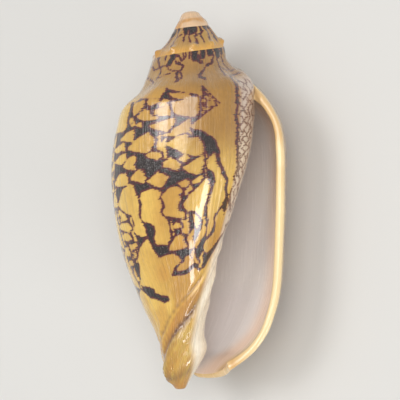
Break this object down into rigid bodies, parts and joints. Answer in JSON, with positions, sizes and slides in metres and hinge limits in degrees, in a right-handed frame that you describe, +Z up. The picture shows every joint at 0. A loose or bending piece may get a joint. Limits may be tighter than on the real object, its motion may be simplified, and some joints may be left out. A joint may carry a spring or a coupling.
{
  "type": "volute shell",
  "caption": "Right-handed volute seashell lying on its back with its long aperture up: a knobbed spire and a smooth tan wall with dark tent markings.",
  "frame": {"origin": "centre of the bounding box, on the surface that the shell rests on", "axes": "+Y along the shell towards its apex, +X towards the outer lip, +Z up, with the aperture facing up and towards +X"},
  "size_m": [0.04, 0.0848, 0.0359],
  "materials": {
    "shell_glaze": "glossy, golden tan with purple-brown markings outside and porcelain white inside"
  },
  "bodies": {
    "root": {"shell": "shell_glaze"}
  },
  "joints": []
}
